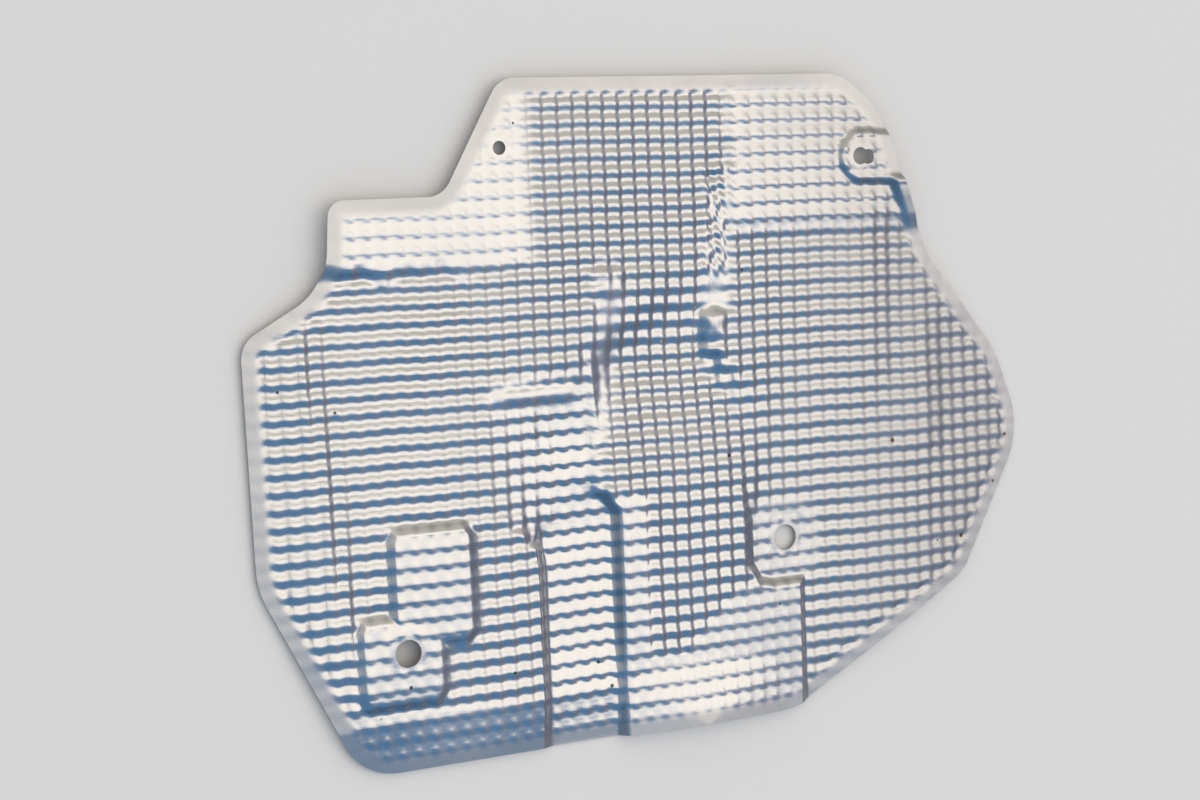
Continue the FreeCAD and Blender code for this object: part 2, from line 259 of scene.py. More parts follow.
# The stage: the lamp panel, the parts of the room that the metal mirrors, and the camera. Metres.
PANEL_PLACE = (1.20, 0.08, 2.60)
PANEL_SIZE = (4.30, 1.80)
PANEL_COLOUR = (1.0, 0.945, 0.88)
SIDE_WALL_FROM = (0.38, 0.66)
FAR_WALL_FROM = (0.0, 0.4)
CEILING_NEAR_END = (-0.24, -0.08)
CEILING_RIGHT_END = (0.62, 0.80)
CEILING_LEFT_END = (-0.42, -0.24)
CEILING_BEYOND_LEFT = 0.5
ROOM_STRENGTH_ENDS = (0.5, 0.75)
ROOM_STRENGTH_BETWEEN = [(0.35, 0.62), (0.72, 1.0)]
FLOOR_REACH = 4.0
FLOOR_LIFT = 0.30
FLOOR_LIFT_COLOUR = (1.0, 0.95, 0.89, 1.0)
# How far the floor's painted shade reaches round the sheet.
SHADE_REACH = 0.06
CAMERA_PLACE = (-0.5115, 0.1129, 0.9313)
CAMERA_RIGHT = Vector((0.88743, -0.03554, 0.45957))
CAMERA_UP = Vector((0.07830, 0.99416, -0.07430))
SENSOR_WIDTH = 36.0


# Smooth building blocks for the pressed form, on arrays of points in millimetres.

def ramp(value, start, end):
    """A soft rise from 0 at start to 1 at end."""
    part = np.clip((value - start) / (end - start), 0.0, 1.0)
    return part * part * (3.0 - 2.0 * part)


def wall(value, middle, width):
    """A soft rise from 0 to 1 across a wall with this middle line and width."""
    return ramp(value, middle - width / 2, middle + width / 2)


def slide(value, start, end, ease):
    """An even rise from 0 at start to 1 at end, eased round both ends."""
    after_start = value - start + np.hypot(value - start, ease)
    after_end = value - end + np.hypot(value - end, ease)
    return (after_start - after_end) / (2 * (end - start))


def span(value, low, high):
    """1 between low and high, with soft ends."""
    ease = 8
    return ramp(value, low - ease, low + ease) * (1 - ramp(value, high - ease, high + ease))


def segment_distance(x, y, ax, ay, bx, by):
    along = ((x - ax) * (bx - ax) + (y - ay) * (by - ay)) / ((bx - ax) ** 2 + (by - ay) ** 2)
    along = np.clip(along, 0.0, 1.0)
    return np.hypot(x - ax - along * (bx - ax), y - ay - along * (by - ay))


def rounded_box(x, y, left, right, low, high, radius):
    """1 inside a box with rounded corners, falling to 0 over its wall."""
    across = np.abs(x - (left + right) / 2) - (right - left) / 2 + radius
    up = np.abs(y - (low + high) / 2) - (high - low) / 2 + radius
    outside = np.hypot(np.maximum(across, 0), np.maximum(up, 0))
    return 1 - wall(outside + np.minimum(np.maximum(across, up), 0) - radius, 0, STEP_WIDTH)


def dome(x, y, at_x, at_y, radius):
    return 1 - ramp(np.hypot(x - at_x, y - at_y), 0, radius)


def crease(away, width):
    return np.exp(-(away / width) ** 2)


# The pressed zones, each 0 outside and 1 inside.

def channel(x, y):
    """The clearance channel: a wide soft left wall at its head, and a jog to the right lower down."""
    jog = ramp(-y, *CHANNEL_JOG)
    narrow = ramp(-y, *CHANNEL_NARROWING)
    left = CHANNEL_LEFT + CHANNEL_LEFT_SHIFT * ramp(-y, *CHANNEL_SHIFTING)
    right = CHANNEL_RIGHT + (CHANNEL_LOWER_RIGHT - CHANNEL_RIGHT) * jog
    left_width = CHANNEL_HEAD_WALL - (CHANNEL_HEAD_WALL - CHANNEL_WALL) * narrow
    right_width = CHANNEL_WALL - (CHANNEL_WALL - CHANNEL_LOWER_WALL) * jog
    inside = wall(x, left, left_width) * (1 - wall(x, right, right_width))
    return inside * (1 - wall(y, CHANNEL_TOP, CHANNEL_TOP_WALL))


def channel_drop(x, y, depth):
    """How deep the channel is: shallow at the left of its head, full lower down, less its low ridge."""
    run = depth * np.clip((CHANNEL_TOP - y) / CHANNEL_RUN, 0, 1)
    head = (HEAD_DEPTH + HEAD_SINK * ramp(-y, *HEAD_SINKING)) * ramp(x, *HEAD_LEFT_END)
    ridge = RIDGE_HEIGHT * np.maximum(0, 1 - np.hypot(y - RIDGE_Y, RIDGE_ROUNDING) / RIDGE_HALF_WIDTH)
    return channel(x, y) * (np.maximum(run, head) - ridge)


def dent(x, y):
    """The wide dent below the upper fields: an even slope down to its low line, then slowly up again."""
    below = np.maximum(0, DENT_LOW - y)
    down = np.minimum(1, slide(-y, -DENT_TOP, -DENT_LOW, DENT_EASE)) * (1 - ramp(below, 0, DENT_RECOVERY))
    left = DENT_LEFT + DENT_LEFT_SLANT * np.maximum(0, y - DENT_LOW)
    right_width = DENT_RIGHT_WALL + DENT_RIGHT_SOFTENING * below
    past_right = (x - DENT_RIGHT - DENT_RIGHT_SLANT * below) / right_width
    return down * wall(x, left, DENT_LEFT_WALL) * (1 - ramp(past_right, -0.5, 0.5))


def flange(x, y):
    """The upper left flange, with a ragged lower line."""
    ragged = 1.5 * np.sin(x / 7.0) + 1.2 * np.sin(x / 3.1 + 1.0)
    return (1 - wall(x, FLANGE_RIGHT, FIELD_WALL)) * wall(y, FLANGE_LOW + ragged, FIELD_WALL)


def far_corner(x, y):
    """The upper right corner field, with a ragged left line."""
    ragged = 1.8 * np.sin(y / 6.0) + 1.0 * np.sin(y / 2.7)
    return wall(x, CORNER_LEFT + ragged, CORNER_LEFT_WALL) * wall(y, CORNER_LOW, FIELD_WALL)


def boss(x, y):
    return 1 - ramp(segment_distance(x, y, *BOSS_LINE), *BOSS_WALL)


def left_pad(x, y):
    return np.maximum(rounded_box(x, y, *LEFT_PAD_UPPER), rounded_box(x, y, *LEFT_PAD_LOWER))


def right_pad(x, y):
    return rounded_box(x, y, *RIGHT_PAD)


def right_drop(x, y, depth):
    """The step round the right pad and down to the lower edge, coming up slowly upwards and to the right."""
    left, _, low, _, radius = RIGHT_PAD
    steep, soft = RIGHT_STEP_WALLS
    upward = ramp(y, *RIGHT_STEP_TURN)
    soft_wall = wall(x, left, steep + (soft - steep) * ramp(y, *RIGHT_STEP_SOFTENING))
    box = rounded_box(x, y, left, FAR_AWAY, low, FAR_AWAY, radius) * (1 - upward) + soft_wall * upward
    step = np.maximum(box, wall(x, RIGHT_STEP_LINE, STEP_WIDTH) * (1 - upward))
    return depth * step * (1 - ramp(x, *RIGHT_STEP_FADE_X)) * (1 - ramp(y, *RIGHT_STEP_FADE_Y))


def hem(x, y):
    """The ironed hem along the lower edge, wider to the right of the channel."""
    fold = 1 - wall(y, HEM_LINE - HEM_SLANT * (x - HEM_LEFT), STEP_WIDTH)
    strip = (1 - wall(y, HEM_STRIP_TOP, STEP_WIDTH)) * wall(x, CHANNEL_LOWER_RIGHT, STEP_WIDTH)
    return np.maximum(fold, strip) * (1 - wall(x, HEM_RIGHT, STEP_WIDTH))


def plain_patch(x, y):
    """The ironed patch between the channel and the right pad's step, cut off on a slant."""
    slanted = y - PATCH_SLANT * np.minimum(0, x - PATCH_SLANT_END)
    across = wall(x, PATCH_LEFT, PATCH_LEFT_WALL) * (1 - wall(x, PATCH_RIGHT, NARROW_WALL))
    return across * (1 - wall(slanted, PATCH_TOP, STEP_WIDTH))


def channel_shelf(x, y):
    """The ironed shelf along the channel's lower right wall."""
    across = wall(x, CHANNEL_LOWER_RIGHT, STEP_WIDTH) * (1 - wall(x, SHELF_RIGHT, NARROW_WALL))
    return across * (1 - wall(y, SHELF_TOP, STEP_WIDTH))


IRONED_ZONES = (channel, flange, far_corner, left_pad, right_pad, hem, plain_patch, channel_shelf)


def pleat(x, y):
    """The pleat at the neck, highest at its top end."""
    line = PLEAT_LINE + PLEAT_SLANT * (PLEAT_TOP - y)
    up = ramp(y, PLEAT_LOW, PLEAT_TOP) * (1 - wall(y, PLEAT_TOP, STEP_WIDTH))
    return wall(x, line, PLEAT_WALL) * up


# Small irregularities of a worn pressing, kept shallow.

def swell(x, y):
    """The sheet's own slow unevenness."""
    slow = np.sin(x / 23 + 0.6) * np.sin(y / 31 + 1.1) + 0.7 * np.sin((x + 1.3 * y) / 37 + 2.0)
    quick = np.sin((x - 0.6 * y) / 9.5) * np.sin((y + 0.4 * x) / 12.5 + 0.8)
    return SLOW_SWELL * slow + QUICK_SWELL * quick


def crumple(x, y):
    """Wrinkles along the channel's upper wall and beside the far corner, and the hollow below these."""
    upper_wall = crease(segment_distance(x, y, *WRINKLED_WALL), WRINKLED_WALL_WIDTH)
    corner = crease(segment_distance(x, y, *WRINKLED_CORNER), WRINKLED_CORNER_WIDTH)
    small = np.sin(1.9 * x + 1.1 * y) * np.sin(1.3 * y - 0.9 * x + 0.7)
    small = small + 0.8 * np.sin(1.15 * y + 2.0 * np.sin(0.6 * x))
    folds = np.sin(0.62 * y - 0.45 * x + 1.5 * np.sin(0.31 * x + 0.2 * y))
    folds = folds + 0.5 * np.sin(1.3 * x + 0.9 * y)
    hollow = ramp(-y, *HOLLOW_UPPER_WALL) * (1 - ramp(-y, *HOLLOW_LOWER_WALL))
    hollow = hollow * span(x, *HOLLOW_SIDES)
    wrinkles = WALL_WRINKLE * upper_wall * small + CORNER_WRINKLE * corner * folds
    return wrinkles - HOLLOW_DEPTH * hollow


def fold_step(past):
    """A short slope down across a fold, made up again slowly on both sides."""
    return 0.5 * ramp(past, -34, -9) - ramp(past, -9, 9) + 0.5 * ramp(past, 9, 60)


def left_fold(y):
    """Where the fold on the left crosses each height."""
    return LEFT_FOLD + LEFT_FOLD_SLANT * (LEFT_FOLD_SPAN[1] - y)


def fold_steps(x, y):
    """The folds on the left and right, and the slanting step in the dent."""
    steps = LEFT_FOLD_STEP * span(y, *LEFT_FOLD_SPAN) * fold_step(x - left_fold(y))
    for line, low, high in RIGHT_FOLDS:
        steps = steps + RIGHT_FOLD_STEP * span(y, low, high) * fold_step(x - line)
    east, north = x - SLANT_MIDDLE[0], y - SLANT_MIDDLE[1]
    along = SLANT_ALONG[0] * east + SLANT_ALONG[1] * north
    past = SLANT_ALONG[1] * east - SLANT_ALONG[0] * north
    return steps + SLANT_STEP * span(along, -SLANT_HALF_LENGTH, SLANT_HALF_LENGTH) * fold_step(past)


def fold_lines(x, y, rim):
    """Soft creases: the folds, the rim's crease, the channel's lip and its pressed edge."""
    lower_right = ramp(x, 70, 96) * (1 - ramp(y, -14, 6))
    left_side = 1 - ramp(x, -190, -150)
    rim_lines = RIM_CREASE_RIGHT * lower_right + RIM_CREASE_LEFT * left_side
    rim_lines = rim_lines * crease(rim - RIM_CREASE, RIM_CREASE_WIDTH)
    lip = ramp(x, -96, -84) * (1 - ramp(x, -54, -46)) * crease(y - LIP_Y, LIP_WIDTH)
    beside = x - PRESSED_EDGE - PRESSED_EDGE_SLANT * y
    edge = 0.5 * ramp(beside, -14, -3) - ramp(beside, -3, 3.5) + 0.5 * ramp(beside, 3.5, 16)
    edge = PRESSED_EDGE_STEP * edge * ramp(y, -44, -28) * (1 - ramp(y, 14, 30))
    return LIP_HEIGHT * lip + edge + fold_steps(x, y) - rim_lines


def pressed_form(x, y, sizes):
    """Height of the pressed form without the embossing."""
    along = np.abs(x - BULGE_PLACE[0]) / BULGE_REACH[0]
    across = np.maximum(0, y - BULGE_PLACE[1]) / BULGE_REACH[1]
    height = BULGE_HEIGHT * np.maximum(0, 1 - (along ** 4 + across ** 4 + 1e-6) ** 0.25)
    height = height - channel_drop(x, y, sizes["channel"]) - DENT_DEPTH * dent(x, y)
    height += flange(x, y) * FLANGE_RISE * np.maximum(0, FLANGE_RIGHT - x)
    height += far_corner(x, y) * CORNER_LIFT
    height += KNOB_HEIGHT * sum(dome(x, y, *knob) for knob in KNOBS)
    height += sizes["boss"] * boss(x, y) + sizes["left_pad"] * left_pad(x, y)
    height += sizes["pleat"] * pleat(x, y) - right_drop(x, y, sizes["right_step"])
    height -= LEFT_FALL * np.maximum(0, left_fold(y) - LEFT_FALL_BEYOND_FOLD - x)
    height -= (1 - far_corner(x, y)) * RIGHT_FALL * np.maximum(0, x - RIGHT_FALL_FROM)
    height -= TIP_FALL * np.maximum(0, x - TIP_FALL_FROM)
    left_end = 1 - ramp(x, *HEM_FALL_END)
    return height - left_end * HEM_FALL * np.maximum(0, HEM_LINE - y)


def emboss(x, y, rim, pitch, depth):
    """The egg-crate embossing: full in the open fields, low bumps where the sheet is ironed flat."""
    turn = 2 * math.pi / pitch
    across = np.cos(turn * (x + 0.22 * np.sin(y / 17) + 0.15 * np.sin(x / 41)))
    row = y - ROW_SHIFT + 0.28 * np.sin(x / 19 + 0.5) + 0.12 * np.sin(x / 5.3)
    row = row + 0.25 * np.sin(turn * x)
    up = np.cos(turn * row)
    cross = CROSS_WAVE + CROSS_WAVE_GAIN * ramp(x, *CROSS_WAVE_GAINING)
    cross = cross - CROSS_WAVE_LOSS * ramp(x, *CROSS_WAVE_LOSING)
    at_fold = crease(x - left_fold(y), LEFT_FOLD_COLUMNS) * span(y, *LEFT_FOLD_SPAN)
    cross = cross + CROSS_WAVE_AT_FOLD * at_fold
    open_wave = 0.5 * (cross * across + up)

    bumps = 0.25 * (1 + across) * (1 + up)
    wavy = turn * (row + 0.45 * across)
    wavy_rows = np.cos(wavy + 0.6 * np.cos(wavy))
    rippled = np.maximum(channel(x, y), 0.8 * far_corner(x, y))
    low_bumps = LOW_ACROSS * across + (LOW_ROWS + LOW_RIPPLE * rippled) * wavy_rows
    low_bumps = low_bumps + LOW_TIPS * bumps ** 2 - LOW_SINK

    ironed = np.maximum.reduce([zone(x, y) for zone in IRONED_ZONES])
    kept = RIM_KEPT + (1 - RIM_KEPT) * ramp(rim, *RIM_FLAT)
    for hole_x, hole_y, radius in SEATED_HOLES:
        kept = kept * ramp(np.hypot(x - hole_x, y - hole_y), radius + 0.5, radius + SEAT_INNER)
    torn = [loss * crease(segment_distance(x, y, *line), width) for *line, loss, width in TORN_LINES]
    kept = kept * (1 - np.maximum.reduce(torn))
    return depth / 2 * ((1 - ironed) * open_wave + ironed * low_bumps) * kept


def sheet_height(x, y, rim, sizes):
    """Height of the front face in millimetres, measured from the open fields' middle plane."""
    height = pressed_form(x, y, sizes) + crumple(x, y) + fold_lines(x, y, rim)
    for hole_x, hole_y, radius in SEATED_HOLES:
        level = pressed_form(np.array([hole_x]), np.array([hole_y]), sizes)[0]
        away = np.hypot(x - hole_x, y - hole_y)
        inside = 1 - ramp(away, radius + SEAT_INNER, radius + SEAT_OUTER)
        height = height * (1 - inside) + level * inside
    return height + swell(x, y) + emboss(x, y, rim, sizes["pitch"], sizes["depth"])


class RimMap:
    """Distance to the outline, worked out once on a grid and read off between its points."""

    def __init__(self, ring, step=2.0, margin=4.0):
        self.low = ring.min(0) - margin
        self.step = step
        size = np.ceil((ring.max(0) + margin - self.low) / step).astype(int) + 2
        columns, rows = (self.low[axis] + step * np.arange(size[axis]) for axis in (0, 1))
        x, y = np.meshgrid(columns, rows)
        self.table = ring_clearance(x.ravel(), y.ravel(), ring).reshape(x.shape)

    def __call__(self, x, y):
        column = np.clip((x - self.low[0]) / self.step, 0, self.table.shape[1] - 1.001)
        row = np.clip((y - self.low[1]) / self.step, 0, self.table.shape[0] - 1.001)
        i, j = column.astype(int), row.astype(int)
        u, v = column - i, row - j
        lower = self.table[j, i] * (1 - u) + self.table[j, i + 1] * u
        upper = self.table[j + 1, i] * (1 - u) + self.table[j + 1, i + 1] * u
        return lower * (1 - v) + upper * v


def sheet_normals(x, y, rim, sizes, step=0.05):
    """The front face's normals, from its slopes over a short step each way."""
    east = sheet_height(x + step, y, rim(x + step, y), sizes)
    west = sheet_height(x - step, y, rim(x - step, y), sizes)
    north = sheet_height(x, y + step, rim(x, y + step), sizes)
    south = sheet_height(x, y - step, rim(x, y - step), sizes)
    slope_x = (east - west) / (2 * step)
    slope_y = (north - south) / (2 * step)
    normals = np.stack([-slope_x, -slope_y, np.ones_like(x)], 1)
    return normals / np.linalg.norm(normals, axis=1)[:, None]


# The outline and the holes as closed rings of points.

def rounded_outline(spacing):
    """The outline with its corners rounded, as points about one spacing apart."""
    arcs = []
    count = len(OUTLINE)
    for index in range(count):
        before = np.array(OUTLINE[index - 1][:2])
        here = np.array(OUTLINE[index][:2])
        after = np.array(OUTLINE[(index + 1) % count][:2])
        radius = OUTLINE[index][2]
        back = (before - here) / np.linalg.norm(before - here)
        on = (after - here) / np.linalg.norm(after - here)
        half = math.acos(float(np.clip(back @ on, -1, 1))) / 2
        middle = here + (back + on) / np.linalg.norm(back + on) * radius / math.sin(half)
        first = here + back * radius / math.tan(half) - middle
        last = here + on * radius / math.tan(half) - middle
        start = math.atan2(first[1], first[0])
        sweep = (math.atan2(last[1], last[0]) - start + math.pi) % (2 * math.pi) - math.pi
        steps = max(2, round(abs(sweep) * radius / spacing))
        angles = start + sweep * np.linspace(0, 1, steps + 1)
        arcs.append(middle + radius * np.stack([np.cos(angles), np.sin(angles)], 1))
    ring = []
    for index, arc in enumerate(arcs):
        ring.append(arc)
        start, end = arc[-1], arcs[(index + 1) % count][0]
        steps = max(1, round(np.linalg.norm(end - start) / spacing))
        ring.append(start + (end - start) * np.linspace(0, 1, steps + 1)[1:-1, None])
    return np.concatenate(ring)


def round_hole(hole, spacing):
    x, y, radius = hole
    count = max(12, round(2 * math.pi * radius / spacing))
    angles = np.linspace(0, 2 * math.pi, count, endpoint=False)
    return np.stack([x + radius * np.cos(angles), y + radius * np.sin(angles)], 1)


def clip_hole(spacing):
    """The two overlapping punches of the clip hole as one ring."""
    kept = []
    for mine, other in ((CLIP_HOLE, CLIP_LOBE), (CLIP_LOBE, CLIP_HOLE)):
        ring = round_hole(mine, spacing)
        away = np.hypot(ring[:, 0] - other[0], ring[:, 1] - other[1]) > other[2]
        kept.append(ring[away])
    ring = np.concatenate(kept)
    middle = ring.mean(0)
    return ring[np.argsort(np.arctan2(ring[:, 1] - middle[1], ring[:, 0] - middle[0]))]


def inside_ring(x, y, ring):
    """Which points lie inside a closed ring."""
    inside = np.zeros(len(x), bool)
    for (ax, ay), (bx, by) in zip(ring, np.roll(ring, -1, 0)):
        if ay == by:
            continue
        crossing = (ay > y) != (by > y)
        inside ^= crossing & (x < ax + (y - ay) * (bx - ax) / (by - ay))
    return inside


def ring_clearance(x, y, ring, size=40):
    """Distance from each point to a ring's nearest point, worked in blocks."""
    nearest = np.full(len(x), 1e9)
    for start in range(0, len(ring), size):
        block = ring[start:start + size]
        away = np.hypot(x[:, None] - block[None, :, 0], y[:, None] - block[None, :, 1]).min(1)
        nearest = np.minimum(nearest, away)
    return nearest


def triangulated_plan(rings, spacing):
    """Points and triangles that fill the outline, less the holes. The rings' points come first."""
    edge_points = np.concatenate(rings)
    edges = []
    start = 0
    for ring in rings:
        count = len(ring)
        edges += [(start + i, start + (i + 1) % count) for i in range(count)]
        start += count
    low, high = rings[0].min(0), rings[0].max(0)
    columns = np.arange(math.floor(low[0] / spacing), math.ceil(high[0] / spacing) + 1) * spacing
    rows = np.arange(math.floor(low[1] / spacing), math.ceil(high[1] / spacing) + 1) * spacing + ROW_SHIFT
    x, y = (grid.ravel() for grid in np.meshgrid(columns, rows))
    keep = inside_ring(x, y, rings[0])
    for ring in rings[1:]:
        keep &= ~inside_ring(x, y, ring)
    x, y = x[keep], y[keep]
    keep = ring_clearance(x, y, edge_points) > 0.55 * spacing
    points = np.concatenate([edge_points, np.stack([x[keep], y[keep]], 1)])
    result = delaunay_2d_cdt([Vector(p) for p in points], edges, [], 0, 1e-7)
    triangles = np.array([face for face in result[2] if len(face) == 3])
    points = np.array([tuple(p) for p in result[0]])
    middle = points[triangles].mean(1)
    keep = inside_ring(middle[:, 0], middle[:, 1], rings[0])
    for ring in rings[1:]:
        keep &= ~inside_ring(middle[:, 0], middle[:, 1], ring)
    return points, triangles[keep], edges


# Nodes and materials.

def join(tree, socket, value):
    """Feed a socket from another node's output, or set its own value."""
    if isinstance(value, bpy.types.NodeSocket):
        tree.links.new(value, socket)
    else:
        socket.default_value = value


def linked(tree, kind, **inputs):
    """A new node with its inputs set or linked. An underscore stands for a space in an input's name."""
    node = tree.nodes.new(kind)
    for name, value in inputs.items():
        join(tree, node.inputs[name.replace("_", " ")], value)
    return node


def ranged(tree, value, start, end, first=0.0, last=1.0, easing="LINEAR"):
    """Value from start to end, turned into first to last and held beyond both."""
    node = linked(tree, "ShaderNodeMapRange", Value=value, From_Min=start, From_Max=end)
    join(tree, node.inputs["To Min"], first)
    join(tree, node.inputs["To Max"], last)
    node.interpolation_type = easing
    return node.outputs["Result"]


def mixed(tree, factor, first, second):
    """A blend of two colours."""
    node = tree.nodes.new("ShaderNodeMix")
    node.data_type = "RGBA"
    for name, value in (("Factor", factor), ("A", first), ("B", second)):
        join(tree, node.inputs[name], value)
    return node.outputs["Result"]


def worked_out(tree, kind, operation, *values):
    """A node that works out an operation on its first inputs."""
    node = tree.nodes.new(kind)
    node.operation = operation
    for socket, value in zip(node.inputs, values):
        join(tree, socket, value)
    return node


def number(tree, operation, *values):
    return worked_out(tree, "ShaderNodeMath", operation, *values).outputs["Value"]


def spotted(tree, place, base, spots, colour):
    """The base colour with a small round mark at each spot."""
    for x, y, radius in spots:
        away = worked_out(tree, "ShaderNodeVectorMath", "DISTANCE", place, (x * MM, y * MM, 0))
        cover = ranged(tree, away.outputs["Value"], 0.5 * radius * MM, radius * MM, SPOT_COVER, 0.0)
        base = mixed(tree, cover, base, (*colour, 1))
    return base


def bright_aluminium(finish):
    """Bright rolled aluminium with fine grain, cloudy dulling, specks, rust spots, worn rims and a painted
    shade that darkens its right end.
    """
    material = bpy.data.materials.new("bright_aluminium")
    material.use_nodes = True
    tree = material.node_tree
    place = tree.nodes.new("ShaderNodeTexCoord").outputs["Object"]
    rim = tree.nodes.new("ShaderNodeAttribute")
    rim.attribute_name = "rim_wear"
    along = linked(tree, "ShaderNodeSeparateXYZ", Vector=place).outputs["X"]
    # Darker towards the right end: painted shade, taken together with the rims' real wear.
    painted_right_shade = ranged(tree, along, *(end * MM for end in SHADED_RIGHT_END))
    rim_wear_and_right_shade = number(tree, "MAXIMUM", rim.outputs["Fac"], painted_right_shade)

    cloud = linked(tree, "ShaderNodeTexNoise", Vector=place, Scale=22.0, Detail=5.0, Roughness=0.6)
    cloud = cloud.outputs["Fac"]
    bright = number(tree, "MULTIPLY_ADD", rim_wear_and_right_shade, WEAR_AND_SHADE_DULLING, cloud)
    bright.node.use_clamp = True
    colour = mixed(tree, bright, (*finish.dull_colour, 1), (*finish.bright_colour, 1))

    specks = linked(tree, "ShaderNodeTexVoronoi", Vector=place, Scale=70.0, Randomness=1.0)
    rare = linked(tree, "ShaderNodeTexNoise", Vector=place, Scale=60.0, Detail=1.0)
    near = ranged(tree, specks.outputs["Distance"], 0.03, 0.05, 1.0, 0.0)
    few = ranged(tree, rare.outputs["Fac"], 0.62, 0.66)
    colour = mixed(tree, number(tree, "MULTIPLY", near, few), colour, (*finish.speck_colour, 1))
    flat = worked_out(tree, "ShaderNodeVectorMath", "MULTIPLY", place, (1, 1, 0)).outputs["Vector"]
    colour = spotted(tree, flat, colour, DARK_SPECKS, finish.speck_colour)
    colour = spotted(tree, flat, colour, RUST_SPOTS, finish.rust_colour)

    rough = ranged(tree, cloud, 0.3, 0.7, finish.roughness - 0.05, finish.roughness + 0.06)
    rough = number(tree, "MULTIPLY_ADD", rim_wear_and_right_shade, finish.rim_roughness - finish.roughness, rough)
    grain = linked(tree, "ShaderNodeTexNoise", Vector=place, Scale=900.0, Detail=3.0, Roughness=0.6)
    bump = linked(tree, "ShaderNodeBump", Height=grain.outputs["Fac"], Strength=0.12, Distance=0.0003)
    shader = tree.nodes["Principled BSDF"]
    join(tree, shader.inputs["Metallic"], 1.0)
    join(tree, shader.inputs["Base Color"], colour)
    join(tree, shader.inputs["Roughness"], rough)
    join(tree, shader.inputs["Normal"], bump.outputs["Normal"])
    return material


def plain_paper(colour):
    """Pale matt floor. Where nothing stands close over it, it looks a little lighter to the camera alone;
    under and beside the sheet this lift fades out, a painted shade.
    """
    material = bpy.data.materials.new("pale_floor")
    material.use_nodes = True
    tree = material.node_tree
    seen = tree.nodes.new("ShaderNodeLightPath").outputs["Is Camera Ray"]
    # The lift fades by ambient occlusion under and round the sheet: painted shade, a dark halo at its edges
    # and in its holes.
    outside_painted_shade = linked(tree, "ShaderNodeAmbientOcclusion", Distance=SHADE_REACH).outputs["AO"]
    lift = number(tree, "MULTIPLY", number(tree, "MULTIPLY", seen, outside_painted_shade), FLOOR_LIFT)
    shader = tree.nodes["Principled BSDF"]
    join(tree, shader.inputs["Base Color"], (*colour, 1))
    join(tree, shader.inputs["Roughness"], 0.9)
    join(tree, shader.inputs["Specular IOR Level"], 0.2)
    join(tree, shader.inputs["Emission Color"], FLOOR_LIFT_COLOUR)
    join(tree, shader.inputs["Emission Strength"], lift)
    return material


def plain_room(stage):
    """The room that the metal mirrors: dim near and right sides, a lighter far side, a pale ceiling."""
    world = bpy.data.worlds.new("room")
    world.use_nodes = True
    tree = world.node_tree
    facing = tree.nodes.new("ShaderNodeTexCoord").outputs["Generated"]
    toward = linked(tree, "ShaderNodeSeparateXYZ", Vector=facing).outputs

    right = ranged(tree, toward["X"], *SIDE_WALL_FROM, easing="SMOOTHSTEP")
    colour = mixed(tree, right, (*stage.room_colour, 1), (*stage.side_wall_colour, 1))
    far = ranged(tree, toward["Y"], *FAR_WALL_FROM, easing="SMOOTHSTEP")
    colour = mixed(tree, far, colour, (*stage.far_wall_colour, 1))
    past_near = ranged(tree, toward["Y"], *CEILING_NEAR_END, easing="SMOOTHSTEP")
    short_of_right = ranged(tree, toward["X"], *CEILING_RIGHT_END, 1.0, 0.0, easing="SMOOTHSTEP")
    past_left = ranged(tree, toward["X"], *CEILING_LEFT_END, CEILING_BEYOND_LEFT, 1.0, easing="SMOOTHSTEP")
    ceiling = number(tree, "MULTIPLY", number(tree, "MULTIPLY", past_near, short_of_right), past_left)
    colour = mixed(tree, ceiling, colour, (*stage.ceiling_colour, 1))

    rise = linked(tree, "ShaderNodeFloatCurve", Value=toward["Z"])
    line = rise.mapping.curves[0]
    line.points[0].location = (0.0, ROOM_STRENGTH_ENDS[0])
    line.points[1].location = (1.0, ROOM_STRENGTH_ENDS[1])
    for height, strength in ROOM_STRENGTH_BETWEEN:
        line.points.new(height, strength)
    rise.mapping.update()
    backdrop = tree.nodes["Background"]
    join(tree, backdrop.inputs["Color"], colour)
    join(tree, backdrop.inputs["Strength"], rise.outputs["Value"])
    return world


def hung_panel(watts):
    """An evenly lit rectangle overhead, facing straight down."""
    lamp = bpy.data.lights.new("key_panel", "AREA")
    lamp.shape = "RECTANGLE"
    lamp.size = PANEL_SIZE[0]
    lamp.size_y = PANEL_SIZE[1]
    lamp.energy = watts
    lamp.color = PANEL_COLOUR
    panel = bpy.data.objects.new("key_panel", lamp)
    panel.matrix_world = Matrix.Translation(PANEL_PLACE)
    return panel


def aimed_camera(focal_length):
    """The camera, looking down on the sheet from its left."""
    lens = bpy.data.cameras.new("camera")
    lens.lens = focal_length
    lens.sensor_width = SENSOR_WIDTH
    camera = bpy.data.objects.new("camera", lens)
    turn = Matrix((CAMERA_RIGHT, CAMERA_UP, CAMERA_RIGHT.cross(CAMERA_UP))).transposed().to_4x4()
    camera.matrix_world = Matrix.Translation(CAMERA_PLACE) @ turn
    return camera


# Settings.

def length(name, description, millimetres):
    return bpy.props.FloatProperty(
        name=name, description=description, default=millimetres * MM, unit="LENGTH", precision=4)


def samples(name, description, count):
    return bpy.props.IntProperty(name=name, description=description, default=count, min=2, max=7)


def tint(name, description, colour):
    return bpy.props.FloatVectorProperty(
        name=name, description=description, default=colour, subtype="COLOR", min=0, max=1)


def share(name, description, amount):
    return bpy.props.FloatProperty(
        name=name, description=description, default=amount, subtype="FACTOR", min=0, max=1)


